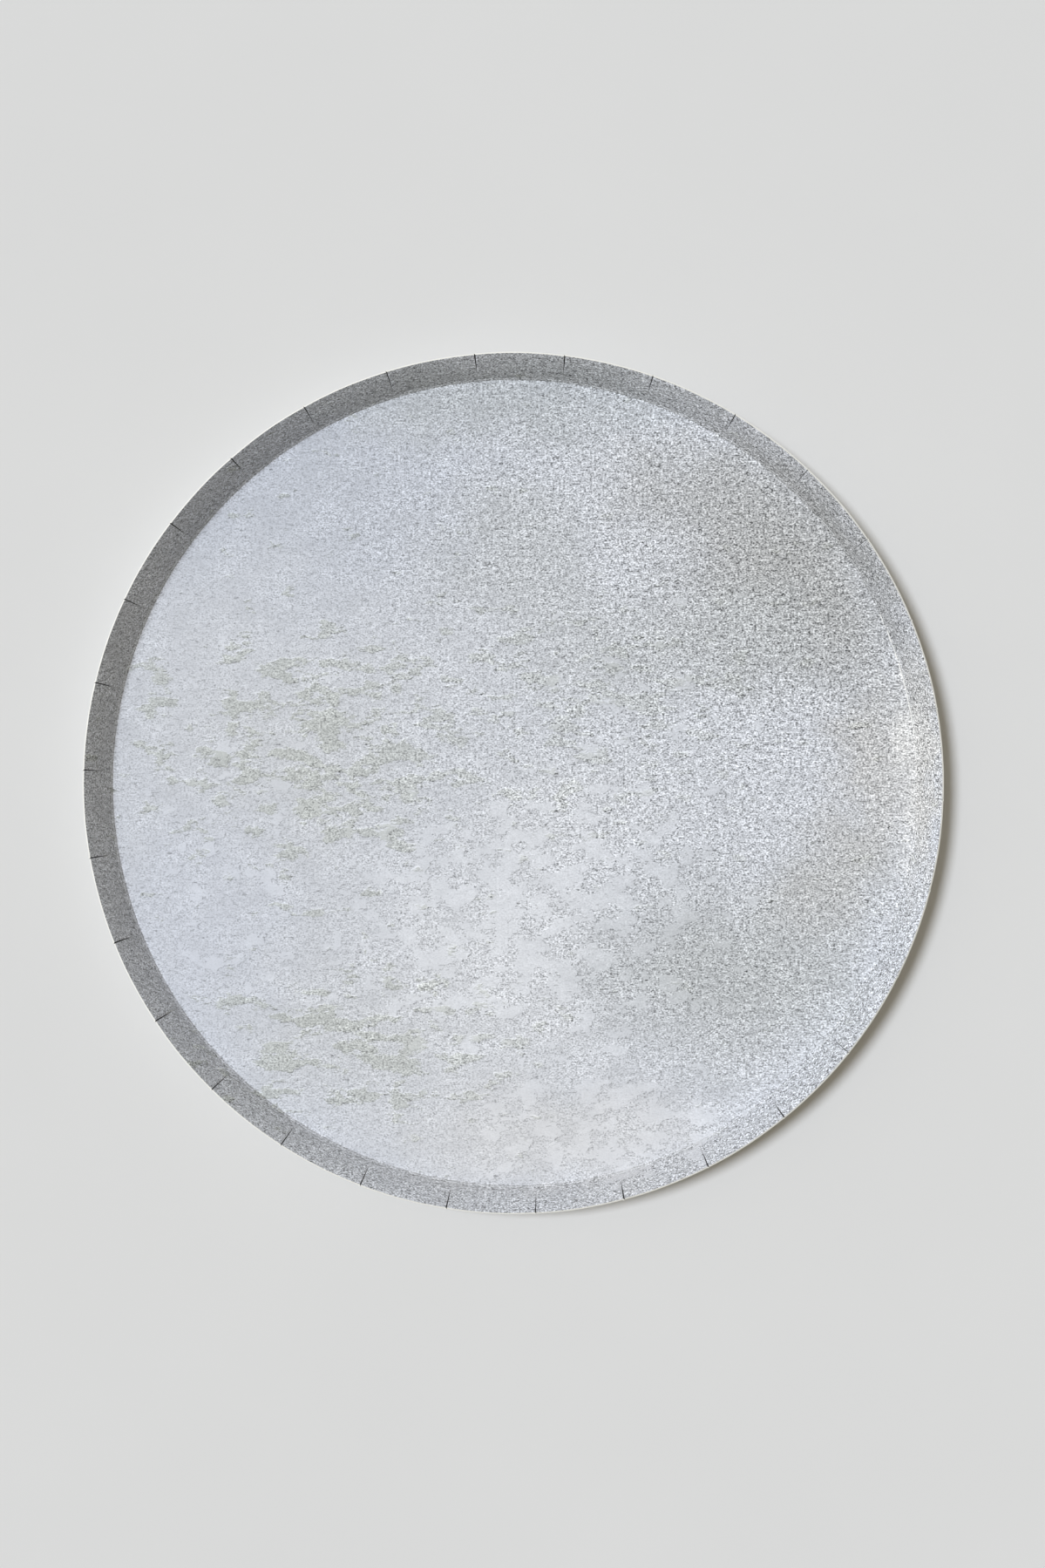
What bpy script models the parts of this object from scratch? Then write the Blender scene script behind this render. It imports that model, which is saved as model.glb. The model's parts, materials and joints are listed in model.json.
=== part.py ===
"""A round, shallow paperboard plate, pressed from one die-cut blank.

A flat floor panel is ringed by wall flaps. Each flap is folded up along the circular crease round the
floor, which works as its hinge, and radial cuts from the rim part each flap from the next one.
The underside of the floor lies on z = 0, and the middle of the plate is on the z axis.
Lengths are in metres, and angles are in degrees where a name ends in _DEG.
"""

import math

import bmesh
import bpy
from mathutils import Matrix

# Driving dimensions
RIM_DIAMETER = 0.230
BOARD = 0.00045
WALL_SLOPE_DEG = 67.0
WALL_SLANT = 0.0121
FLAP_COUNT = 30
FIRST_CUT_DEG = 10.4

# Clearances along the crease and the cuts
FLOOR_SETBACK = 0.0003
FLAP_SETBACK = 0.0004
CUT_WIDTH = 0.0003

# Facets
FLOOR_SEGMENTS = 180
FLAP_SEGMENTS = 8
FLAP_ROWS = 4
SMOOTH_UNDER_DEG = 30.0

# Finishes: the same coated print covers floor and wall, and the wall catches less light
FLOOR_PRINT = (0.62, 0.64, 0.68, 1.0)
WALL_PRINT = (0.56, 0.58, 0.61, 1.0)
PRINT_ROUGHNESS = 0.55

# Worked out from the driving dimensions
SLOPE = math.radians(WALL_SLOPE_DEG)
FLAP_ARC = 2.0 * math.pi / FLAP_COUNT
RUN = WALL_SLANT * math.cos(SLOPE) + BOARD / 2.0 * math.sin(SLOPE)
CREASE_RADIUS = RIM_DIAMETER / 2.0 - RUN
CREASE_HEIGHT = BOARD / 2.0


def clear_scene():
    for obj in list(bpy.data.objects):
        bpy.data.objects.remove(obj, do_unlink=True)


def printed_board(name, colour):
    """Coated and printed board: not metal, with a dull satin surface."""
    material = bpy.data.materials.new(name)
    material.use_nodes = True
    shader = material.node_tree.nodes["Principled BSDF"]
    shader.inputs["Base Color"].default_value = colour
    shader.inputs["Roughness"].default_value = PRINT_ROUGHNESS
    shader.inputs["Metallic"].default_value = 0.0
    material.diffuse_color = colour
    return material


def finish_mesh(bm, name, material):
    bmesh.ops.recalc_face_normals(bm, faces=bm.faces[:])
    mesh = bpy.data.meshes.new(name)
    bm.to_mesh(mesh)
    bm.free()
    mesh.materials.append(material)
    mesh.shade_smooth()
    mesh.set_sharp_from_angle(angle=math.radians(SMOOTH_UNDER_DEG))
    return mesh


def add_object(name, mesh, location=(0.0, 0.0, 0.0), turn=0.0):
    obj = bpy.data.objects.new(name, mesh)
    obj.location = location
    obj.rotation_euler = (0.0, 0.0, turn)
    bpy.context.scene.collection.objects.link(obj)
    return obj


def floor_mesh():
    """A disc of board that stops just short of the crease."""
    edge_radius = CREASE_RADIUS - FLOOR_SETBACK
    bm = bmesh.new()
    bmesh.ops.create_cone(
        bm,
        cap_ends=True,
        segments=FLOOR_SEGMENTS,
        radius1=edge_radius,
        radius2=edge_radius,
        depth=BOARD,
        matrix=Matrix.Translation((0.0, 0.0, BOARD / 2.0)),
    )
    return finish_mesh(bm, "floor_panel", printed_board("floor_print", FLOOR_PRINT))


def wall_outline():
    """The wall's section beside its hinge line, as (out, up) points: up the inner face, then down the outer."""
    rows = [
        FLAP_SETBACK + (WALL_SLANT - FLAP_SETBACK) * row / FLAP_ROWS
        for row in range(FLAP_ROWS + 1)
    ]

    def point(slant, offset):
        out = slant * math.cos(SLOPE) - offset * math.sin(SLOPE)
        up = slant * math.sin(SLOPE) + offset * math.cos(SLOPE)
        return out, up

    inner_face = [point(slant, BOARD / 2.0) for slant in rows]
    outer_face = [point(slant, -BOARD / 2.0) for slant in reversed(rows)]
    return inner_face + outer_face


def flap_mesh():
    """One flap, turned about the plate's axis. Its origin is the middle of its hinge line, and x points outward."""
    half_arc = (FLAP_ARC - CUT_WIDTH / CREASE_RADIUS) / 2.0
    plate_centre = (-CREASE_RADIUS, 0.0, 0.0)
    bm = bmesh.new()
    first = [bm.verts.new((out, 0.0, up)) for out, up in wall_outline()]
    first_edges = [bm.edges.new((first[i - 1], first[i])) for i in range(len(first))]
    bmesh.ops.rotate(bm, verts=first, cent=plate_centre, matrix=Matrix.Rotation(-half_arc, 3, "Z"))
    turned = bmesh.ops.spin(
        bm,
        geom=first + first_edges,
        cent=plate_centre,
        axis=(0.0, 0.0, 1.0),
        angle=2.0 * half_arc,
        steps=FLAP_SEGMENTS,
    )
    last_edges = [item for item in turned["geom_last"] if isinstance(item, bmesh.types.BMEdge)]
    for end in (first_edges, last_edges):
        bmesh.ops.contextual_create(bm, geom=end)
    return finish_mesh(bm, "wall_flap", printed_board("wall_print", WALL_PRINT))


def build_plate():
    add_object("floor_panel", floor_mesh())
    flap = flap_mesh()
    for number in range(1, FLAP_COUNT + 1):
        turn = math.radians(FIRST_CUT_DEG) + FLAP_ARC * (number - 0.5)
        hinge = (CREASE_RADIUS * math.cos(turn), CREASE_RADIUS * math.sin(turn), CREASE_HEIGHT)
        add_object(f"wall_flap_{number:02d}", flap, hinge, turn)


clear_scene()
build_plate()
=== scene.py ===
# %% [markdown]
# # A paper plate with a concrete print
#
# The plate is one sheet of board: printed, die-cut to a round blank with thirty short cuts round its
# edge, and pressed so that the edge folds up along a circular crease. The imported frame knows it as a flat
# floor panel and thirty hinged wall flaps. This script keeps those places and hinges, and puts a finer
# sheet of board on them.

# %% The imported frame
import json
import math
import random

import bpy
from mathutils import Matrix, Vector


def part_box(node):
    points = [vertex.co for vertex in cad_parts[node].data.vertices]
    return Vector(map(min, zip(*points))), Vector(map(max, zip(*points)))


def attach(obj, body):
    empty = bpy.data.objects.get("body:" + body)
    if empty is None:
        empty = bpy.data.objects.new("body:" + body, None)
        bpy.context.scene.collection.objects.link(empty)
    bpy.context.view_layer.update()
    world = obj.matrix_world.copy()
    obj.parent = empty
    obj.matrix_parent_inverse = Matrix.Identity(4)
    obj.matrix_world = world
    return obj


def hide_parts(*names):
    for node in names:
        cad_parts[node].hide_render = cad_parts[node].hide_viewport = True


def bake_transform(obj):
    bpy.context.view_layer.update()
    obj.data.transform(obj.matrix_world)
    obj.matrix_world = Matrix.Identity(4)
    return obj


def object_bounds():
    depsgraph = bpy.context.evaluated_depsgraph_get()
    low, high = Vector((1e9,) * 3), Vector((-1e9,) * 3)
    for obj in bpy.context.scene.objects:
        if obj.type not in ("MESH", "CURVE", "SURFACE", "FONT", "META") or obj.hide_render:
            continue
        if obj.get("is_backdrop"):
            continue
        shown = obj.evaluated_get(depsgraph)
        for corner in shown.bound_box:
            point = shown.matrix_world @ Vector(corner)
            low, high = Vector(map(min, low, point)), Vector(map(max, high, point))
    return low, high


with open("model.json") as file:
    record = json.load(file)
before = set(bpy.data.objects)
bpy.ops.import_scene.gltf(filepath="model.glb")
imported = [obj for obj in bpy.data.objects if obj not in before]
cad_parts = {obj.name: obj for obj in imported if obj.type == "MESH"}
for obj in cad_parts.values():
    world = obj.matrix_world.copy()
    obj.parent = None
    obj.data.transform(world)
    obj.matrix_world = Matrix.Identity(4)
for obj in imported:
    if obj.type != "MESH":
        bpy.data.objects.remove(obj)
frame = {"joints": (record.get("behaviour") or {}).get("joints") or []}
cad_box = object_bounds()

# %% [markdown]
# ## Sizes
#
# The main sizes come from the frame, so the finer sheet can't drift away from the part it stands for. The
# floor's height is the thickness of the board, and each hinge line touches the crease in the middle of
# its flap. The foot of the wall, where the board starts to turn up, lies a board or two inside that line.

# %% Sizes from the frame
MM = 0.001
floor_low, floor_high = (Vector(corner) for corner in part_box("floor_panel"))
BOARD = floor_high.z - floor_low.z
hinges = frame["joints"]
FLAPS = len(hinges)
FLAP_ARC = 2 * math.pi / FLAPS
CREASE = math.hypot(*hinges[0]["pos_m"][:2])
SLOPE = math.radians(hinges[0]["range_deg"][1])
RIM_RADIUS = max(abs(value) for corner in cad_box for value in corner[:2])
RIM_HEIGHT = max(corner[2] for corner in cad_box)
FOOT_INSIDE = 0.98 * MM
print(f"board {BOARD / MM:.2f} mm, crease radius {CREASE / MM:.2f} mm")
print(f"wall slope {math.degrees(SLOPE):.0f} degrees")
print(f"rim radius {RIM_RADIUS / MM:.2f} mm, height {RIM_HEIGHT / MM:.2f} mm, {FLAPS} flaps")

# %% [markdown]
# ## Camera, light and floor
#
# The plate is seen from above with a normal lens. The camera stands a few centimetres to the right of the
# plate's middle and leans back towards it. A window lights the plate from high on the left. It is a sun
# lamp with a wide disc, which gives soft shadow edges that are the same all over the plate, where a lamp
# close by would make one side brighter. A second sun with a very wide disc fills in from the same side,
# and a pale room fills the shade.

# %% Camera
CAMERA_HEIGHT = 0.5787
CAMERA_ASIDE = (32 * MM, 8 * MM)
CAMERA_AIM = (3.03 * MM, -0.1 * MM)
LENS = 50
SENSOR_WIDTH = 36
NEAREST = 0.01

camera_up = RIM_HEIGHT + CAMERA_HEIGHT
tilt = [math.atan2(CAMERA_ASIDE[axis] - CAMERA_AIM[axis], camera_up) for axis in (0, 1)]
bpy.ops.object.camera_add(location=(*CAMERA_ASIDE, camera_up), rotation=(-tilt[1], tilt[0], 0))
camera = bpy.context.object
camera.name = "camera_above"
camera.data.lens = LENS
camera.data.sensor_width = SENSOR_WIDTH
camera.data.clip_start = NEAREST
bpy.context.scene.camera = camera
print("camera", round(camera_up, 3), "m up, leaning", [round(math.degrees(t), 1) for t in tilt], "degrees")

# %% Light
WINDOW_FROM = 156
WINDOW_UP = 65.5
WINDOW_DISC = 16
WINDOW_STRENGTH = 2.27
WINDOW_COLOUR = (0.94, 1.0, 1.09)
FILL_FROM = 152
FILL_UP = 45
FILL_DISC = 100
FILL_STRENGTH = 0.54
FILL_COLOUR = (1.0, 1.0, 0.97)
ROOM_STRENGTH = 0.19
ROOM_COLOUR = (1.17, 1.05, 0.78, 1.0)
LAMP_PLACE = (-0.6, 0.2, 1.2)


def soft_sun(name, turn, up, disc, strength, colour):
    """A sun lamp at a turn and a height in degrees. Only its direction counts, not its place."""
    bpy.ops.object.light_add(type="SUN", location=LAMP_PLACE)
    lamp = bpy.context.object
    lamp.name = name
    lamp.rotation_euler = (0, math.radians(90 - up), math.radians(turn))
    lamp.data.angle = math.radians(disc)
    lamp.data.energy = strength
    lamp.data.color = colour
    return lamp


soft_sun("window", WINDOW_FROM, WINDOW_UP, WINDOW_DISC, WINDOW_STRENGTH, WINDOW_COLOUR)
soft_sun("fill", FILL_FROM, FILL_UP, FILL_DISC, FILL_STRENGTH, FILL_COLOUR)
room = bpy.data.worlds.new("pale_room")
room.use_nodes = True
room_light = room.node_tree.nodes["Background"]
room_light.inputs["Color"].default_value = ROOM_COLOUR
room_light.inputs["Strength"].default_value = ROOM_STRENGTH
bpy.context.scene.world = room
bpy.context.scene.view_settings.view_transform = "Standard"
print("window light from", WINDOW_FROM, "degrees,", WINDOW_UP, "degrees up")


# %% Helpers for the scene's objects
def select_only(obj):
    bpy.ops.object.select_all(action="DESELECT")
    obj.select_set(True)
    bpy.context.view_layer.objects.active = obj


def apply_modifiers(obj):
    select_only(obj)
    for modifier in list(obj.modifiers):
        bpy.ops.object.modifier_apply(modifier=modifier.name)


def smoothstep(low, high, value):
    """A smooth ramp from 0, where value is low, to 1, where it is high."""
    share = min(max((value - low) / (high - low), 0.0), 1.0)
    return share * share * (3 - 2 * share)


# %% Table top
TABLE_SIZE = 40.0
TABLE_DROP = 0.05 * MM

bpy.ops.mesh.primitive_plane_add(size=TABLE_SIZE, location=(0, 0, -TABLE_DROP))
table_top = bpy.context.object
table_top.name = "table_top"
table_top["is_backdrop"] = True

# %% [markdown]
# ## Shader helpers
#
# A material is a graph of nodes. These few functions add a node, set what it needs and wire it up in one
# line, so the graphs below read like recipes. A pattern that more than one finish uses becomes a node
# group.


# %% Node helpers
def add_node(tree, kind, *wires, **settings):
    """Adds a node. Each wire goes into the next input, whether it is a socket, a number or a colour."""
    node = tree.nodes.new(kind)
    for key, value in settings.items():
        if key in node.inputs:
            plug(tree, value, node.inputs[key])
        else:
            setattr(node, key, value)
    for place, value in enumerate(wires):
        if value is not None:
            plug(tree, value, node.inputs[place])
    return node


def plug(tree, value, socket):
    if isinstance(value, bpy.types.NodeSocket):
        tree.links.new(value, socket)
    else:
        socket.default_value = value


def calc(tree, operation, *values):
    node = add_node(tree, "ShaderNodeMath", *values, operation=operation)
    return node.outputs[0]


def vector_calc(tree, operation, *values):
    node = add_node(tree, "ShaderNodeVectorMath", *values, operation=operation)
    return node.outputs[0]


def scaled(tree, vector, factor):
    node = tree.nodes.new("ShaderNodeVectorMath")
    node.operation = "SCALE"
    plug(tree, vector, node.inputs[0])
    plug(tree, factor, node.inputs["Scale"])
    return node.outputs[0]


def stepped(tree, value, low, high, to_low=0.0, to_high=1.0):
    """A smooth ramp from to_low, where value is low, to to_high, where it is high."""
    node = tree.nodes.new("ShaderNodeMapRange")
    node.interpolation_type = "SMOOTHSTEP"
    for place, item in enumerate((value, low, high, to_low, to_high)):
        plug(tree, item, node.inputs[place])
    return node.outputs[0]


def noise(tree, vector, scale, detail=2.0, roughness=0.5, distortion=0.0):
    node = tree.nodes.new("ShaderNodeTexNoise")
    plug(tree, vector, node.inputs["Vector"])
    node.inputs["Scale"].default_value = scale
    node.inputs["Detail"].default_value = detail
    node.inputs["Roughness"].default_value = roughness
    node.inputs["Distortion"].default_value = distortion
    return node


def mixed(tree, share, first, second, blend="MIX"):
    node = tree.nodes.new("ShaderNodeMix")
    node.data_type = "RGBA"
    node.blend_type = blend
    plug(tree, share, node.inputs["Factor"])
    plug(tree, first, node.inputs[6])
    plug(tree, second, node.inputs[7])
    return node.outputs[2]


def new_group(name, inputs, outputs):
    """An empty shader group with named sockets. Each one is (name, kind, value)."""
    group = bpy.data.node_groups.new(name, "ShaderNodeTree")
    for label, kind, value in inputs:
        socket = group.interface.new_socket(label, in_out="INPUT", socket_type=kind)
        if value is not None:
            socket.default_value = value
    for label, kind in outputs:
        group.interface.new_socket(label, in_out="OUTPUT", socket_type=kind)
    entry = group.nodes.new("NodeGroupInput")
    leave = group.nodes.new("NodeGroupOutput")
    return group, entry.outputs, leave.inputs


def use_group(tree, group, **values):
    node = tree.nodes.new("ShaderNodeGroup")
    node.node_tree = group
    for label, value in values.items():
        plug(tree, value, node.inputs[label.replace("_", " ")])
    return node.outputs


def new_material(name):
    material = bpy.data.materials.new(name)
    material.use_nodes = True
    tree = material.node_tree
    return material, tree, tree.nodes["Principled BSDF"]


def srgb(red, green, blue):
    """A colour given as display values from 0 to 255, as linear light."""

    def linear(value):
        share = value / 255
        return share / 12.92 if share <= 0.04045 else ((share + 0.055) / 1.055) ** 2.4

    return (linear(red), linear(green), linear(blue), 1.0)


# %% [markdown]
# ## The print's place on the blank
#
# The print is laid down while the sheet is flat, and folded up with it. So the pattern can't hang in
# space round the plate: it has to follow the board over the crease and up each flap. Each piece below
# gets a UV map called `blank` that says where each of its points lay on the flat blank, in metres. The
# shaders read only that map, so the pattern runs on across the crease and stays put when a flap folds.


# %% The blank's coordinates, in millimetres
def blank_place(tree):
    place = add_node(tree, "ShaderNodeUVMap", uv_map="blank")
    return scaled(tree, place.outputs[0], 1 / MM)


# %% [markdown]
# ## Wear, painted crease shade and fibre
#
# Two effects are used more than once, so each is a node group with its own inputs. `fibre_grain` is the
# felt of paper fibres, which shows in the raw back and cut edge and faintly through the coating.
# The crease group draws a broken, wandering line along the fold. It marks where the coating has cracked
# and lets the white board through, which is wear. It also draws the fine score lines beside that, whose
# dark and pale lines are painted shade and painted highlight of the score's grooves and ridge.


# %% Group: fibre grain
CLOUD_SCALE = 0.35
FIBRE_SCALE = 1.3
FIBRE_TURNS = (0.3, 1.5, 2.6)
FIBRE_STRETCH = (0.5, 4.5, 1.0)
FIBRE_CURL = (2.4, 2.4, 0.0)
CURL_SCALE = 0.6


def fibre_grain_group():
    group, entry, leave = new_group(
        "fibre_grain",
        [("Place", "NodeSocketVector", None), ("Fineness", "NodeSocketFloat", 1.0)],
        [("Cloud", "NodeSocketFloat"), ("Fibre", "NodeSocketFloat")],
    )
    place = scaled(group, entry["Place"], entry["Fineness"])
    cloud = noise(group, place, CLOUD_SCALE, detail=4.0, roughness=0.6)
    swirl = noise(group, place, CURL_SCALE, detail=1.0)
    bent = vector_calc(group, "MULTIPLY_ADD", swirl.outputs["Color"], FIBRE_CURL, place)
    strands = []
    for turn in FIBRE_TURNS:
        lay = add_node(group, "ShaderNodeMapping", bent)
        lay.inputs["Rotation"].default_value = (0.0, 0.0, turn)
        lay.inputs["Scale"].default_value = FIBRE_STRETCH
        strand = noise(group, lay.outputs[0], FIBRE_SCALE, detail=2.0, roughness=0.55)
        strands.append(strand.outputs["Fac"])
    most = calc(group, "MAXIMUM", calc(group, "MAXIMUM", strands[0], strands[1]), strands[2])
    plug(group, cloud.outputs["Fac"], leave["Cloud"])
    plug(group, stepped(group, most, 0.45, 0.75), leave["Fibre"])
    return group


fibre_grain = fibre_grain_group()
print("fibre grain:", len(fibre_grain.nodes), "nodes")


# %% Group: crease wear, also used for the painted shade and highlight of the score lines
WANDER = 0.7
WANDER_SCALE = 0.5
BREAK_SCALE = 0.55
BREAK_BORDER = 0.05


def crease_wear_and_shade_group():
    group, entry, leave = new_group(
        "crease_wear_and_shade",
        [
            ("Place", "NodeSocketVector", None),
            ("Radius", "NodeSocketFloat", 100.0),
            ("Width", "NodeSocketFloat", 0.4),
            ("Amount", "NodeSocketFloat", 0.5),
        ],
        [("Mask", "NodeSocketFloat")],
    )
    place = entry["Place"]
    wobble = noise(group, place, WANDER_SCALE, detail=3.0, roughness=0.6).outputs["Fac"]
    wobble = calc(group, "SUBTRACT", wobble, 0.5)
    distance = add_node(group, "ShaderNodeVectorMath", place, operation="LENGTH").outputs["Value"]
    aside = calc(group, "SUBTRACT", distance, entry["Radius"])
    wandering = calc(group, "MULTIPLY_ADD", wobble, WANDER, aside)
    close = calc(group, "DIVIDE", calc(group, "ABSOLUTE", wandering), entry["Width"])
    line = stepped(group, close, 0.35, 1.0, 1.0, 0.0)
    broken = noise(group, place, BREAK_SCALE, detail=5.0, roughness=0.75).outputs["Fac"]
    limit = calc(group, "SUBTRACT", 0.78, calc(group, "MULTIPLY", entry["Amount"], 0.4))
    flecks = stepped(group, broken, limit, calc(group, "ADD", limit, BREAK_BORDER))
    plug(group, calc(group, "MULTIPLY", line, flecks), leave["Mask"])
    return group


crease_wear_and_shade = crease_wear_and_shade_group()
print("crease wear:", len(crease_wear_and_shade.nodes), "nodes")

# %% [markdown]
# ## The concrete print
#
# The print is a picture of cast concrete, lit from one side. It is made here the way that light makes it.
# First come layers: crusts of cement with crumbled borders, smooth chalky islands, grit, and pits where
# air was caught. Reading a layer twice, a short step apart, and taking the difference gives its border a
# light side and a dark side. Colour comes after, in soft stains at listed places: warm and dark at the
# upper right, pale lavender at the left.

# %% How large the concrete's layers are, and how much each one lightens (+) or darkens (-) the print
CRUST_SCALE = 0.13
CRUST_STEP = (0.10, -0.30, 0.0)
CRUST_BORDER = 0.05
LIP_LIGHT = 0.30
CHALK_SCALE = 0.15
CHALK_PLACE = (37.0, 11.0, 0.0)
CHALK_STEP = (-0.22, 0.16, 0.0)
CHALK_BORDER = 0.035
CHALK_LIGHT = 0.075
CRACK_LIGHT = -0.26
CHALK_CALM = -0.72
GRIT_SCALE = 2.1
LUMP_SCALE = 0.8
LUMP_SHARE = 0.32
DRIFT_SCALE = 0.10
DRIFT_LIGHT = 0.32
PIT_SCALE = 1.15
PIT_LIGHT = -0.28


# %% Group: crust, chalk, grit and pits of the concrete
def border(group, layer, level, width):
    """1 inside the layer, where its noise is above the level, and 0 outside it."""
    return stepped(group, layer, level, calc(group, "ADD", level, width))


def concrete_grain_group():
    group, entry, leave = new_group(
        "concrete_grain",
        [
            ("Place", "NodeSocketVector", None),
            ("Coarse", "NodeSocketFloat", 0.5),
            ("Crusted", "NodeSocketFloat", 0.5),
            ("Chalked", "NodeSocketFloat", 0.5),
        ],
        [("Light", "NodeSocketFloat"), ("Crust", "NodeSocketFloat")],
    )
    wide = vector_calc(group, "MULTIPLY", entry["Place"], (0.85, 1.15, 1.0))
    swirl = noise(group, wide, 0.35, detail=2.0).outputs["Color"]
    bent = vector_calc(group, "MULTIPLY_ADD", swirl, (2.6, 2.0, 0.0), wide)

    # crust: a layer with crumbled borders, which shade and light up along opposite sides
    long = vector_calc(group, "MULTIPLY", bent, (0.8, 1.3, 1.0))
    near = noise(group, long, CRUST_SCALE, detail=6.0, roughness=0.63).outputs["Fac"]
    beside = vector_calc(group, "ADD", long, CRUST_STEP)
    far = noise(group, beside, CRUST_SCALE, detail=6.0, roughness=0.63).outputs["Fac"]
    level = calc(group, "SUBTRACT", 0.62, calc(group, "MULTIPLY", entry["Crusted"], 0.16))
    crust = border(group, near, level, CRUST_BORDER)
    lip = calc(group, "SUBTRACT", border(group, far, level, CRUST_BORDER), crust)

    # chalk: smooth pale islands, with a thin dark crack along one side of their borders
    away = vector_calc(group, "ADD", bent, CHALK_PLACE)
    near = noise(group, away, CHALK_SCALE, detail=6.0, roughness=0.62).outputs["Fac"]
    beside = vector_calc(group, "ADD", away, CHALK_STEP)
    far = noise(group, beside, CHALK_SCALE, detail=6.0, roughness=0.62).outputs["Fac"]
    level = calc(group, "SUBTRACT", 0.68, calc(group, "MULTIPLY", entry["Chalked"], 0.22))
    chalk = border(group, near, level, CHALK_BORDER)
    crack = calc(group, "SUBTRACT", border(group, far, level, CHALK_BORDER), chalk)
    crack = calc(group, "MAXIMUM", crack, 0.0)
    rough_share = calc(group, "MULTIPLY_ADD", chalk, CHALK_CALM, 1.0)

    # grit and lumps, in drifts: rough areas show much of them, dark and bright, and smooth ones little
    grit = noise(group, wide, GRIT_SCALE, detail=1.0, roughness=0.6).outputs["Fac"]
    lumps = noise(group, bent, LUMP_SCALE, detail=1.0, roughness=0.55).outputs["Fac"]
    drifts = noise(group, wide, DRIFT_SCALE, detail=3.0, roughness=0.7).outputs["Fac"]
    drifts = calc(group, "SUBTRACT", drifts, 0.5)
    busy = calc(group, "ADD", entry["Coarse"], calc(group, "MULTIPLY", crust, 0.22))
    busy = calc(group, "ADD", busy, calc(group, "MULTIPLY", drifts, 1.2))
    grains = calc(group, "MULTIPLY", grit, 1 - LUMP_SHARE)
    grains = calc(group, "ADD", grains, calc(group, "MULTIPLY", lumps, LUMP_SHARE))
    dark = stepped(group, grains, 0.54, 0.30, 0.0, 1.0)
    bright = stepped(group, grains, 0.48, 0.72, 0.0, 1.0)
    dark_much = stepped(group, busy, -0.3, 1.2, 0.22, 0.95)
    dark_much = calc(group, "MULTIPLY", dark_much, rough_share)
    bright_much = stepped(group, busy, -0.1, 1.2, 0.12, 1.10)
    bright_much = calc(group, "MULTIPLY", bright_much, rough_share)
    light = calc(group, "MULTIPLY_ADD", dark, calc(group, "MULTIPLY", dark_much, -1.0), 1.0)
    light = calc(group, "MULTIPLY_ADD", bright, bright_much, light)
    light = calc(group, "MULTIPLY_ADD", lip, LIP_LIGHT, light)
    light = calc(group, "MULTIPLY_ADD", chalk, CHALK_LIGHT, light)
    light = calc(group, "MULTIPLY_ADD", crack, CRACK_LIGHT, light)
    light = calc(group, "MULTIPLY_ADD", drifts, DRIFT_LIGHT, light)

    # pits: sparse, small and dark, drawn out into short dashes
    dashes = vector_calc(group, "MULTIPLY", bent, (0.55, 1.1, 1.0))
    holes = noise(group, dashes, PIT_SCALE, detail=0.0).outputs["Fac"]
    pits = stepped(group, holes, 0.27, 0.22)
    light = calc(group, "MULTIPLY_ADD", pits, PIT_LIGHT, light)
    plug(group, light, leave["Light"])
    plug(group, crust, leave["Crust"])
    return group


concrete_grain = concrete_grain_group()
print("concrete grain:", len(concrete_grain.nodes), "nodes")

# %% Colours of the concrete, and its stains: (across, up, half width, half height, colour, strength), in mm
GROUND = srgb(207, 209, 215)
SKY_GREY = srgb(194, 198, 208)
CHALK = srgb(216, 217, 221)
LAVENDER = srgb(205, 208, 217)
GREEN_GREY = srgb(190, 192, 194)
WARM_GREY = srgb(178, 178, 178)
BEIGE = srgb(200, 200, 198)
CRUST_TINT = srgb(239, 240, 232)

STAINS = [
    (-50, 84, 62, 40, SKY_GREY, 0.75),
    (0, 106, 60, 16, srgb(188, 191, 195), 0.95),
    (-84, -34, 26, 44, LAVENDER, 0.80),
    (-4, -52, 40, 40, CHALK, 0.90),
    (10, -98, 50, 20, srgb(212, 211, 212), 0.75),
    (14, -10, 30, 20, CHALK, 0.55),
    (0, 62, 24, 22, GREEN_GREY, 0.60),
    (26, 38, 26, 20, GREEN_GREY, 0.55),
    (-60, 6, 34, 24, BEIGE, 0.20),
    (-48, -70, 30, 18, BEIGE, 0.20),
    (60, -50, 42, 28, GREEN_GREY, 0.95),
    (88, -26, 22, 16, srgb(191, 191, 191), 0.85),
    (76, 56, 36, 33, WARM_GREY, 1.00),
    (56, 80, 32, 18, WARM_GREY, 0.75),
    (100, 32, 20, 26, WARM_GREY, 0.45),
    (98, 2, 14, 26, srgb(190, 186, 180), 0.50),
    (113, 4, 9, 38, srgb(218, 216, 213), 0.75),
    (62, 38, 26, 18, GREEN_GREY, 0.70),
]

# %% Where the print is coarse, crusted or chalky: (across, up, half width, half height, strength), in mm
COARSE_AREAS = [
    (80, 60, 50, 50, 0.35),
    (0, 80, 60, 40, 0.20),
    (22, -98, 60, 34, -0.40),
]
CRUSTED_AREAS = [
    (-50, 10, 60, 40, 0.9),
    (-40, -72, 60, 26, 0.8),
    (20, 20, 60, 40, 0.7),
]
CHALKED_AREAS = [
    (6, -36, 80, 52, 0.95),
    (-70, -20, 50, 80, 0.6),
    (30, 20, 50, 40, 0.55),
    (24, -94, 56, 26, 0.9),
]
WALL_GRIT = 0.50
WALL_GRIT_FROM_TO = (108.0, 110.5)


# %% Group: concrete print
STAIN_BEND = (40.0, 30.0, 0.0)
STAIN_EDGE = (0.2, 1.35)


def stain_cover(tree, place, across, up, half_width, half_height, strength):
    """A soft oval: its full strength in the middle, and nothing outside it."""
    local = vector_calc(tree, "SUBTRACT", place, (across, up, 0.0))
    shaped = vector_calc(tree, "MULTIPLY", local, (1 / half_width, 1 / half_height, 0.0))
    reach = add_node(tree, "ShaderNodeVectorMath", shaped, operation="LENGTH").outputs["Value"]
    return stepped(tree, reach, *STAIN_EDGE, strength, 0.0)


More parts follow.
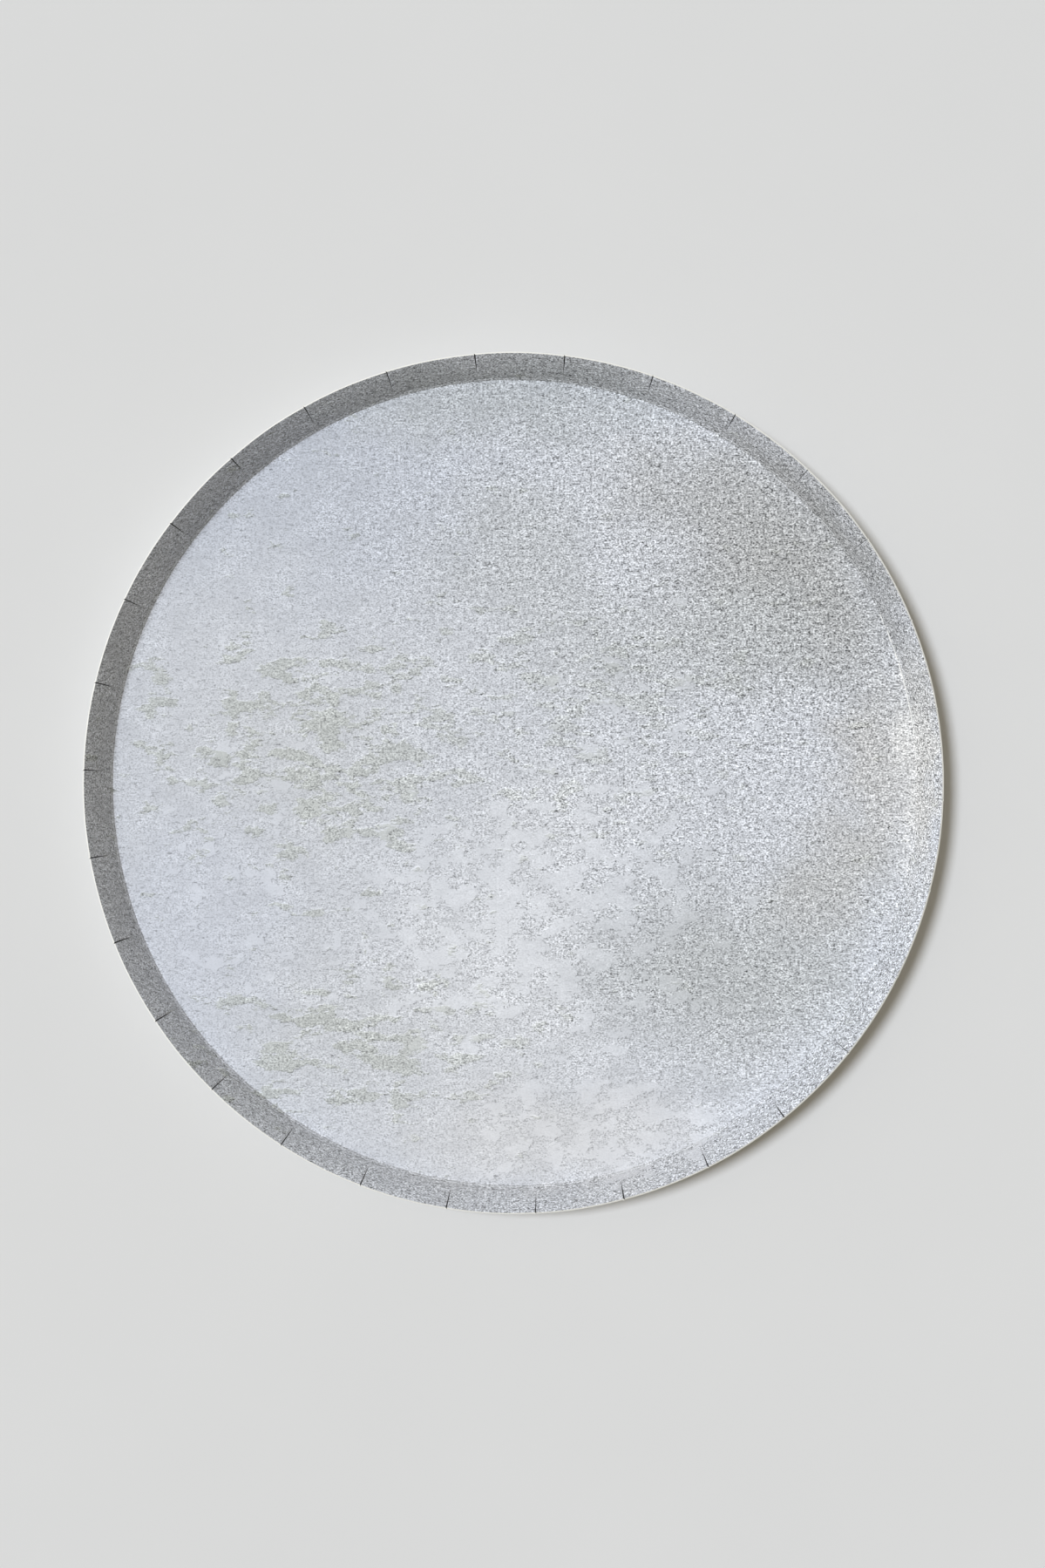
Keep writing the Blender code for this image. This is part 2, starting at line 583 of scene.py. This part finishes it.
def concrete_group():
    group, entry, leave = new_group(
        "concrete_print",
        [("Place", "NodeSocketVector", None)],
        [("Color", "NodeSocketColor"), ("Light", "NodeSocketFloat")],
    )
    place = entry["Place"]
    slow = noise(group, place, 0.05, detail=5.0, roughness=0.62).outputs["Color"]
    bent = vector_calc(group, "MULTIPLY_ADD", slow, STAIN_BEND, place)
    bent = vector_calc(group, "SUBTRACT", bent, tuple(value / 2 for value in STAIN_BEND))
    colour = GROUND
    for across, up, half_width, half_height, tint, strength in STAINS:
        cover = stain_cover(group, bent, across, up, half_width, half_height, strength)
        colour = mixed(group, cover, colour, tint)

    # the print is rougher to the right, and most of all in the dark corner and on the wall
    right = add_node(group, "ShaderNodeSeparateXYZ", bent).outputs[0]
    coarse = stepped(group, right, -90.0, 70.0, 0.12, 0.70)
    for area in COARSE_AREAS:
        coarse = calc(group, "ADD", coarse, stain_cover(group, bent, *area))
    out = add_node(group, "ShaderNodeVectorMath", place, operation="LENGTH").outputs["Value"]
    coarse = calc(group, "ADD", coarse, stepped(group, out, *WALL_GRIT_FROM_TO, 0.0, WALL_GRIT))
    crusted, chalked = 0.0, 0.0
    for area in CRUSTED_AREAS:
        crusted = calc(group, "MAXIMUM", crusted, stain_cover(group, bent, *area))
    for area in CHALKED_AREAS:
        chalked = calc(group, "MAXIMUM", chalked, stain_cover(group, bent, *area))
    grain = use_group(
        group, concrete_grain, Place=place, Coarse=coarse, Crusted=crusted, Chalked=chalked
    )
    share = calc(group, "MULTIPLY", grain["Crust"], stepped(group, right, -70.0, 60.0, 1.0, 0.45))
    colour = mixed(group, share, colour, CRUST_TINT, blend="MULTIPLY")
    colour = scaled(group, colour, grain["Light"])
    plug(group, colour, leave["Color"])
    plug(group, grain["Light"], leave["Light"])
    return group


concrete_print = concrete_group()
print("concrete print:", len(concrete_print.nodes), "nodes,", len(STAINS), "stains")


# %% [markdown]
# ## The three faces of the board
#
# The inside is printed and coated. The cut edge is raw: it shows the felted layers of the board as fine
# lines along the cut. The back is plain, uncoated and slightly cloudy.


# %% Wear along the crease. Score lines, painted shade and painted highlight of the score's grooves and ridge: (outside the wall's foot in mm, half width in mm, colour, strength)
FOOT = (CREASE - FOOT_INSIDE) / MM
CRACK_OUTSIDE = 0.1
CRACK_WIDTH = 0.30
MOST_WORN = (0.98 * CREASE / MM, 0.24 * CREASE / MM, 0.0)
WORN_FROM_TO = (8.0, 42.0)
WORN_MOST, WORN_LEAST = 0.95, 0.12
BARE_BOARD = srgb(236, 235, 232)
SCORE_BREAKS = 0.75
# Painted shade for the grooves between flaps: the colour the print turns where the groove attribute is
# full, in place of the shadow inside the gap.
PAINTED_GROOVE_SHADE = srgb(34, 33, 32)
PAINTED_GROOVE_STRENGTH = 0.95
SCORE_SHADE_AND_HIGHLIGHT = [
    (0.30, 0.16, srgb(120, 120, 118), 0.50),
    (0.72, 0.20, srgb(228, 230, 232), 0.45),
    (1.20, 0.20, srgb(110, 110, 108), 0.55),
]


# %% Material: printed face
def printed_face_material():
    material, tree, shader = new_material("printed_face")
    place = blank_place(tree)
    concrete = use_group(tree, concrete_print, Place=place)
    grain = use_group(tree, fibre_grain, Place=place, Fineness=1.6)
    from_worn = vector_calc(tree, "SUBTRACT", place, MOST_WORN)
    nearness = add_node(tree, "ShaderNodeVectorMath", from_worn, operation="LENGTH").outputs["Value"]
    amount = stepped(tree, nearness, *WORN_FROM_TO, WORN_MOST, WORN_LEAST)
    cracks = use_group(
        tree, crease_wear_and_shade, Place=place, Radius=FOOT + CRACK_OUTSIDE, Width=CRACK_WIDTH, Amount=amount
    )["Mask"]
    colour = mixed(tree, cracks, concrete["Color"], BARE_BOARD)
    # The score lines are painted: the dark lines are painted shade in the score's grooves, and the pale
    # line is a painted highlight on the ridge between them.
    for reach, width, tint, strength in SCORE_SHADE_AND_HIGHLIGHT:
        line = use_group(
            tree, crease_wear_and_shade, Place=place, Radius=FOOT + reach, Width=width, Amount=SCORE_BREAKS
        )["Mask"]
        colour = mixed(tree, calc(tree, "MULTIPLY", line, strength), colour, tint)
    # The groove attribute is painted shade: it darkens the print inside each cut's groove, where the shadow
    # falls.
    groove = add_node(tree, "ShaderNodeAttribute", attribute_name="groove").outputs["Fac"]
    colour = mixed(tree, calc(tree, "MULTIPLY", groove, PAINTED_GROOVE_STRENGTH), colour, PAINTED_GROOVE_SHADE)
    plug(tree, colour, shader.inputs["Base Color"])
    dull = calc(tree, "MULTIPLY_ADD", cracks, 0.3, 0.5)
    dull = calc(tree, "MULTIPLY_ADD", concrete["Light"], 0.12, dull)
    plug(tree, dull, shader.inputs["Roughness"])
    relief = calc(tree, "MULTIPLY_ADD", cracks, 0.6, calc(tree, "MULTIPLY", grain["Fibre"], 0.25))
    relief = calc(tree, "ADD", relief, calc(tree, "MULTIPLY", grain["Cloud"], 0.5))
    bump = add_node(tree, "ShaderNodeBump", Height=relief, Strength=0.25, Distance=0.03 * MM)
    plug(tree, bump.outputs[0], shader.inputs["Normal"])
    shader.inputs["Specular IOR Level"].default_value = 0.35
    return material


printed_face = printed_face_material()


# %% Material: raw back
BACK_CREAM = srgb(226, 224, 218)
BACK_PALE = srgb(240, 239, 235)
BACK_FIBRE = srgb(214, 211, 203)


def board_back_material():
    material, tree, shader = new_material("board_back")
    grain = use_group(tree, fibre_grain, Place=blank_place(tree), Fineness=1.0)
    colour = mixed(tree, grain["Cloud"], BACK_CREAM, BACK_PALE)
    colour = mixed(tree, calc(tree, "MULTIPLY", grain["Fibre"], 0.35), colour, BACK_FIBRE)
    plug(tree, colour, shader.inputs["Base Color"])
    plug(tree, calc(tree, "MULTIPLY_ADD", grain["Fibre"], -0.1, 0.9), shader.inputs["Roughness"])
    relief = calc(tree, "ADD", grain["Fibre"], grain["Cloud"])
    bump = add_node(tree, "ShaderNodeBump", Height=relief, Strength=0.35, Distance=0.04 * MM)
    plug(tree, bump.outputs[0], shader.inputs["Normal"])
    shader.inputs["Specular IOR Level"].default_value = 0.25
    return material


board_back = board_back_material()


# %% Material: cut edge
EDGE_WHITE = srgb(244, 243, 238)
EDGE_TUFT = srgb(222, 219, 210)
LAYER_SCALE = 3.5


def cut_edge_material():
    material, tree, shader = new_material("cut_edge")
    place = blank_place(tree)
    grain = use_group(tree, fibre_grain, Place=place, Fineness=3.0)
    height = add_node(tree, "ShaderNodeTexCoord").outputs["Object"]
    height = scaled(tree, height, 1 / MM)
    layers = noise(tree, height, LAYER_SCALE, detail=3.0, roughness=0.7).outputs["Fac"]
    tuft = calc(tree, "MULTIPLY", grain["Fibre"], layers)
    colour = mixed(tree, tuft, EDGE_WHITE, EDGE_TUFT)
    plug(tree, colour, shader.inputs["Base Color"])
    plug(tree, calc(tree, "MULTIPLY_ADD", tuft, 0.1, 0.85), shader.inputs["Roughness"])
    bump = add_node(tree, "ShaderNodeBump", Height=layers, Strength=0.5, Distance=0.03 * MM)
    plug(tree, bump.outputs[0], shader.inputs["Normal"])
    shader.inputs["Specular IOR Level"].default_value = 0.2
    return material


cut_edge = cut_edge_material()


# %% Material: table top
TABLE_DARKER = srgb(218, 217, 216)
TABLE_PALER = srgb(223, 222, 221)


def table_material():
    material, tree, shader = new_material("pale_table")
    place = add_node(tree, "ShaderNodeTexCoord").outputs["Object"]
    mottle = noise(tree, place, 9.0, detail=4.0, roughness=0.6).outputs["Fac"]
    plug(tree, mixed(tree, mottle, TABLE_DARKER, TABLE_PALER), shader.inputs["Base Color"])
    shader.inputs["Roughness"].default_value = 0.9
    return material


table_top.data.materials.append(table_material())

# %% [markdown]
# ## The floor
#
# The floor is a disc of board. A plain disc would do for its outline, but pressed board is never quite
# flat, so it is made of rings of small faces that a displacement can lift by about a tenth of a
# millimetre. The rings are inset from the edge inwards, as by hand. Its edge stops 2.2 mm inside the
# crease, where the flaps' sheets take over: board doesn't end at a fold, so the fold belongs to the sheet
# that bends.

# %% Floor disc
STRIP = 2.2 * MM
SEAM_RADIUS = CREASE - STRIP
COLUMNS = 24
FLOOR_STEPS = FLAPS * COLUMNS
FLOOR_RINGS = 22

bpy.ops.object.select_all(action="DESELECT")
bpy.ops.mesh.primitive_circle_add(
    vertices=FLOOR_STEPS, radius=SEAM_RADIUS, fill_type="NGON", location=(0, 0, BOARD)
)
floor_sheet = bpy.context.object
floor_sheet.name = "floor_sheet"
bpy.ops.object.mode_set(mode="EDIT")
bpy.ops.mesh.select_mode(type="FACE")
bpy.ops.mesh.select_all(action="SELECT")
ring_width = SEAM_RADIUS / (FLOOR_RINGS + 0.5)
for ring in range(FLOOR_RINGS):
    bpy.ops.mesh.inset(thickness=ring_width)
bpy.ops.mesh.poke()
bpy.ops.object.mode_set(mode="OBJECT")
bpy.ops.object.transform_apply(location=True, rotation=True, scale=True)
print("floor rings:", len(floor_sheet.data.polygons), "faces")

# %% Cockle the floor a little, and give it the board's thickness
COCKLE = 0.12 * MM
COCKLE_ACROSS = 0.05
FLAT_FROM, FLAT_TO = 0.7, 0.98
SHARP_EDGE = math.radians(40)
cockle_size = bpy.data.textures.new("cockle", "CLOUDS")
cockle_size.noise_scale = COCKLE_ACROSS
inner = floor_sheet.vertex_groups.new(name="free_to_cockle")
for vertex in floor_sheet.data.vertices:
    away = math.hypot(vertex.co.x, vertex.co.y) / SEAM_RADIUS
    inner.add([vertex.index], 1 - smoothstep(FLAT_FROM, FLAT_TO, away), "REPLACE")
cockle = floor_sheet.modifiers.new("cockle", "DISPLACE")
cockle.texture = cockle_size
cockle.texture_coords = "GLOBAL"
cockle.direction = "Z"
cockle.mid_level = 0.0
cockle.strength = COCKLE
cockle.vertex_group = "free_to_cockle"
apply_modifiers(floor_sheet)


def lay_print_flat(obj):
    """The blank map of a piece that is still flat: its own place on the blank."""
    layer = obj.data.uv_layers.new(name="blank")
    for loop in obj.data.loops:
        layer.data[loop.index].uv = obj.data.vertices[loop.vertex_index].co.xy


def thicken(obj):
    """Solidify away from the printed face. The back and the cut edge take the next two materials."""
    for material in (printed_face, board_back, cut_edge):
        obj.data.materials.append(material)
    wall = obj.modifiers.new("board", "SOLIDIFY")
    wall.thickness = BOARD
    wall.offset = -1
    wall.material_offset = 1
    wall.material_offset_rim = 2
    apply_modifiers(obj)


lay_print_flat(floor_sheet)
thicken(floor_sheet)
select_only(floor_sheet)
bpy.ops.object.shade_smooth_by_angle(angle=SHARP_EDGE)
print("floor sheet:", len(floor_sheet.data.polygons), "faces")

# %% [markdown]
# ## One flap, as it is cut
#
# The board's section is drawn first, as a line: along the floor, round the fold and up the wall. Each
# point is extruded from the last, as by hand. Spinning that line about the plate's axis by one flap's arc
# gives the flap's sheet, with columns that meet those of the floor.

# %% The section line: the floor's edge, a short steep band where the board was scored, and the wall
BAND_TURN = math.radians(56)
BAND_RADIUS = 0.14 * MM
BAND_LENGTH = 1.05 * MM
WALL_FLARE = math.radians(5)
WALL_SHORT = 0.06 * MM
WALL_INSIDE = 0.16 * MM
FOLD_STEPS = 5
BAND_STEPS = 4
WALL_ROWS = 16
FLAT_POINTS = 9

foot = CREASE - FOOT_INSIDE
top_out = RIM_RADIUS - (BOARD + WALL_INSIDE) * math.sin(SLOPE)
top_up = RIM_HEIGHT - WALL_SHORT
section = []
for step in range(FLAT_POINTS):
    share = step / (FLAT_POINTS - 1)
    section.append((SEAM_RADIUS + (foot - SEAM_RADIUS) * share, BOARD))
for step in range(1, FOLD_STEPS + 1):
    turn = BAND_TURN * step / FOLD_STEPS
    fold_up = BAND_RADIUS * (1 - math.cos(turn))
    section.append((foot + BAND_RADIUS * math.sin(turn), BOARD + fold_up))
fold_end = section[-1]
for step in range(1, BAND_STEPS + 1):
    reach = BAND_LENGTH * step / BAND_STEPS
    section.append((
        fold_end[0] + reach * math.cos(BAND_TURN),
        fold_end[1] + reach * math.sin(BAND_TURN),
    ))
wall_foot = section[-1]
WALL_START = len(section) - 1
chord = (top_out - wall_foot[0], top_up - wall_foot[1])
WALL_LENGTH = math.hypot(*chord)
for step in range(1, WALL_ROWS + 1):
    share = step / WALL_ROWS
    sag = WALL_LENGTH * math.tan(WALL_FLARE) * share * (1 - share)
    section.append((
        wall_foot[0] + chord[0] * share - sag * chord[1] / WALL_LENGTH,
        wall_foot[1] + chord[1] * share + sag * chord[0] / WALL_LENGTH,
    ))

along = [0.0]
for before, after in zip(section, section[1:]):
    along.append(along[-1] + math.dist(before, after))
flat_radius = [SEAM_RADIUS + reach for reach in along]
print(f"section: {len(section)} points, {along[-1] / MM:.2f} mm of board")

# %% Draw the line by extruding a point, and spin it
SAME_POINT = 0.01 * MM

bpy.ops.object.select_all(action="DESELECT")
bpy.ops.mesh.primitive_plane_add(size=MM, location=(section[0][0], 0, section[0][1]))
flap_sheet = bpy.context.object
flap_sheet.name = "flap_sheet"
bpy.ops.object.transform_apply(location=True, rotation=True, scale=True)
bpy.ops.object.mode_set(mode="EDIT")
bpy.ops.mesh.select_mode(type="VERT")
bpy.ops.mesh.select_all(action="SELECT")
bpy.ops.mesh.merge(type="CENTER")
for before, after in zip(section, section[1:]):
    move = (after[0] - before[0], 0, after[1] - before[1])
    bpy.ops.mesh.extrude_region_move(TRANSFORM_OT_translate={"value": move})
bpy.ops.mesh.select_all(action="SELECT")
bpy.ops.mesh.spin(steps=COLUMNS, angle=FLAP_ARC, center=(0, 0, 0), axis=(0, 0, 1))
bpy.ops.mesh.select_all(action="SELECT")
bpy.ops.mesh.remove_doubles(threshold=SAME_POINT)
bpy.ops.object.mode_set(mode="OBJECT")
turns = [math.atan2(v.co.y, v.co.x) for v in flap_sheet.data.vertices]
middle = (min(turns) + max(turns)) / 2
flap_sheet.data.transform(Matrix.Rotation(-middle, 4, "Z"))
up_facing = sum(p.normal.z for p in flap_sheet.data.polygons)
if up_facing < 0:
    flap_sheet.data.flip_normals()
flap_arc = math.degrees(max(turns) - min(turns))
print("flap sheet:", len(flap_sheet.data.polygons), "faces, arc", round(flap_arc, 2), "degrees")

# %% Where each point of the sheet lies: its row up the section and its column along the arc
rows, columns = [], []
for vertex in flap_sheet.data.vertices:
    out = math.hypot(vertex.co.x, vertex.co.y)
    rows.append(min(range(len(section)), key=lambda i: math.dist(section[i], (out, vertex.co.z))))
    columns.append(round((math.atan2(vertex.co.y, vertex.co.x) / FLAP_ARC + 0.5) * COLUMNS))
flap_sheet.data.uv_layers.new(name="blank")
print("rows", min(rows), "to", max(rows), "columns", min(columns), "to", max(columns))

# %% [markdown]
# ## Thirty flaps, as they are pressed
#
# Folding the edge up makes it shorter, but the board isn't. So each flap is a little too wide for its
# place, and one of its ends is tucked behind the next flap. The press leaves their printed faces level,
# with a narrow groove where one flap dips behind the other. The groove's darkness is painted shade: each
# point's `groove` attribute darkens the print there, in place of the shadow inside the gap. The groove is
# widest at the rim and runs out above the crease. None is quite like the next, so each copy settles with
# its own small differences, from a seeded generator. The die that cut the blank sat a little aside of the
# one that pressed it, so the cuts' circle lies about a millimetre beside the crease's. On the worn side,
# which faces the window, the grooves are narrower and their painted shade is lighter, as the light falls
# into them there.

# %% How a flap settles: its most bow and lean, and between which shares of them it lies
BOW = 0.06 * MM
BOW_SHARES = (0.3, 1.25)
LEAN = 0.05 * MM
LEAN_SHARES = (0.2, 1.15)
SWAY = 0.02
RIPPLES = (0.01, 0.03)
RIPPLE_WAVE = 3.1
BOW_GROWTH = 2.5

# %% The groove and the tuck at a flap's end. "From" and "to" are shares of the wall's height
GROOVE_WIDTH = 0.42 * MM
GROOVE_SHARES = (0.75, 1.1)
GROOVE_LEAST = 0.12 * MM
GROOVE_FROM = 0.28
GROOVE_FROM_VARIES = 0.1
GROOVE_TAPER = 0.7
# The painted shade of a groove grows to full over this share of its open stretch.
DARK_AFTER = 0.35
TUCK_DEPTH = 0.56 * MM
SLIT = 0.03 * MM
DIP_FROM, DIP_TO = 0.22, 0.42
TUCK_FROM, TUCK_TO = 0.38, 0.60
TUCK_LENGTH = 1.0 * MM
TUCK_LEAST = 0.01
TUCK_CORNER = 1.3 * MM
CORNER_CURVE = 6
FORMED_AT = 1.5 * MM
END_COLUMNS = 8
BODY_COLUMNS = COLUMNS - END_COLUMNS + 1

# %% Where the grooves are tight and their painted shade lighter, and how far the cuts sit beside the crease
TIGHT_AT = math.radians(6)
TIGHT_FROM, TIGHT_TO = 0.55, 0.9
TIGHT_SHARE = 0.6
DIE_SLIP = 1.05 * MM
DIE_SLIP_FROM = math.radians(8)
DIE_TURN = math.radians(-0.25)
settling = random.Random(7)


# %% The columns at a flap's tucked end
def end_places(groove, dip, tuck):
    """Each end column's place along the arc from the cut, how deep it dips, and its painted groove shade.
    """
    slit = -SLIT * (1 - dip)
    return [
        (-1.0 * MM, 0.0, 0.0),
        (-groove - 0.06 * MM, 0.0, 0.0),
        (slit - 0.80 * groove, 0.10, 1.0),
        (slit - 0.45 * groove, 0.45, 1.0),
        (slit - 0.10 * groove, 0.84, 1.0),
        (slit + 0.12 * tuck, 1.0, 0.7),
        (slit + 0.50 * tuck, 1.0, 0.0),
        (slit + tuck, 1.0, 0.0),
    ]


# %% One flap's own small differences
def own_differences(number):
    """The random draws of one flap, always in this order, and what depends on its place round the plate."""
    flap = {
        "bow": BOW * settling.uniform(*BOW_SHARES),
        "lean": LEAN * settling.uniform(*LEAN_SHARES),
        "sway": settling.uniform(-SWAY, SWAY) * MM,
        "ripple_at": settling.uniform(0, 2 * math.pi),
        "ripple": settling.uniform(*RIPPLES) * MM,
        "width": GROOVE_WIDTH * settling.uniform(*GROOVE_SHARES),
        "groove_from": GROOVE_FROM + settling.uniform(-GROOVE_FROM_VARIES, GROOVE_FROM_VARIES),
    }
    hinge_x, hinge_y, _ = hinges[number - 1]["pos_m"]
    flap["turn"] = math.atan2(hinge_y, hinge_x)
    from_tight = flap["turn"] + FLAP_ARC / 2 - TIGHT_AT
    flap["looseness"] = 1 - TIGHT_SHARE * smoothstep(TIGHT_FROM, TIGHT_TO, math.cos(from_tight))
    flap["width"] *= flap["looseness"]
    return flap


# %% Where a column gathers along its flap's arc
def gathered_column(column, out, ends):
    """Its angle from the flap's middle, how deep it dips, and its painted groove shade. Only the end
    columns dip.
    """
    from_end = column - BODY_COLUMNS
    if from_end >= 0:
        place, depth, shade = ends[from_end]
        return FLAP_ARC / 2 + place / out, depth, shade
    body = FLAP_ARC / 2 + ends[0][0] / out
    return -FLAP_ARC / 2 + (FLAP_ARC / 2 + body) * column / BODY_COLUMNS, 0.0, 0.0


# %% Where one point of the sheet settles
def settled_point(flap, row, column):
    """Its place on the plate, its angle on the flat blank, and the painted shade of the groove there."""
    out, up = section[row]
    slant = max(along[row] - along[WALL_START], 0.0)
    rise = slant / WALL_LENGTH
    formed = smoothstep(0.0, FORMED_AT, slant)
    dip = smoothstep(DIP_FROM, DIP_TO, rise)
    open_share = max((rise - flap["groove_from"]) / (1 - flap["groove_from"]), 0.0)
    groove = max(flap["width"] * open_share ** GROOVE_TAPER, GROOVE_LEAST)
    tuck = TUCK_LENGTH * (TUCK_LEAST + smoothstep(TUCK_FROM, TUCK_TO, rise))

    # columns are even along the fold, and gather at the tucked end further up
    even = FLAP_ARC * (column / COLUMNS - 0.5)
    gathered, depth, shade = gathered_column(column, out, end_places(groove, dip, tuck))
    angle = even + (gathered - even) * formed
    share = angle / (FLAP_ARC / 2)
    blank_angle = flap["turn"] + angle * out / flat_radius[row]

    # the flap bows, leans and ripples, and its end dips; a corner past the cut is rounded off downwards
    inward = formed * -flap["bow"] * max(1 - share * share, 0.0) * min(1.0, BOW_GROWTH * rise)
    inward += rise * (flap["lean"] + flap["sway"] * share)
    inward += rise * flap["ripple"] * math.sin(RIPPLE_WAVE * share + flap["ripple_at"])
    inward -= depth * dip * TUCK_DEPTH
    if share > 1.0:
        lowered = TUCK_CORNER * rise ** CORNER_CURVE
        out -= lowered * math.cos(SLOPE)
        up -= lowered * math.sin(SLOPE)
    out -= inward * math.sin(SLOPE)
    up += inward * math.cos(SLOPE)
    angle += flap["turn"]
    angle += formed * (DIE_TURN + DIE_SLIP * math.sin(angle - DIE_SLIP_FROM) / out)
    # Painted shade of the groove: full in the tuck's dip, growing as the groove opens, and lighter on the
    # window side where the grooves are tight and lit.
    groove_shade_share = shade * smoothstep(0.0, DARK_AFTER, open_share) * flap["looseness"]
    return (out * math.cos(angle), out * math.sin(angle), up), blank_angle, groove_shade_share


# %% One settled flap
def settled_flap(number):
    obj = flap_sheet.copy()
    obj.data = flap_sheet.data.copy()
    obj.name = f"wall_sheet_{number:02d}"
    bpy.context.scene.collection.objects.link(obj)
    flap = own_differences(number)
    mesh = obj.data
    # The groove attribute carries each point's painted groove shade to the printed face.
    groove = mesh.attributes.new("groove", "FLOAT", "POINT")
    blank_angles = []
    for index, (row, column) in enumerate(zip(rows, columns)):
        place, blank_angle, groove_shade_share = settled_point(flap, row, column)
        mesh.vertices[index].co = place
        groove.data[index].value = groove_shade_share
        blank_angles.append(blank_angle)
    blank = mesh.uv_layers["blank"]
    for loop in mesh.loops:
        radius = flat_radius[rows[loop.vertex_index]]
        angle = blank_angles[loop.vertex_index]
        blank.data[loop.index].uv = (radius * math.cos(angle), radius * math.sin(angle))
    thicken(obj)
    select_only(obj)
    bpy.ops.object.shade_smooth_by_angle(angle=SHARP_EDGE)
    return obj


# %% Settle the flaps
wall_sheets = [settled_flap(number) for number in range(1, FLAPS + 1)]
bpy.data.objects.remove(flap_sheet, do_unlink=True)
print("wall:", len(wall_sheets), "flaps,", sum(len(o.data.polygons) for o in wall_sheets), "faces")

# %% [markdown]
# ## Which part each piece replaces
#
# Each flap's sheet reaches across its hinge: its inner strip lies on the floor, and the rest stands up
# with the flap. Each flap's sheet keeps its place as it is, and the frame's flap that it stands for is
# hidden. The floor's sheet simply rides on the floor. Each piece stands for one solid of the frame.

for number, sheet in enumerate(wall_sheets, start=1):
    hinge = hinges[number - 1]
    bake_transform(sheet)
    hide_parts(hinge["child"])

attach(floor_sheet, "floor_panel")
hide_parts("floor_panel")
print("placed", len(wall_sheets) + 1, "sheets on their bodies")

# %% [markdown]
# ## The sizes of the frame and the sheet
#
# The finer sheet has to stay inside the box of the part it stands for. Both boxes are printed, so they
# can be compared.

# %% Sizes
visual_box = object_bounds()
for label, box in (("cad", cad_box), ("visual", visual_box)):
    print(label, [[round(value / MM, 3) for value in corner] for corner in box])
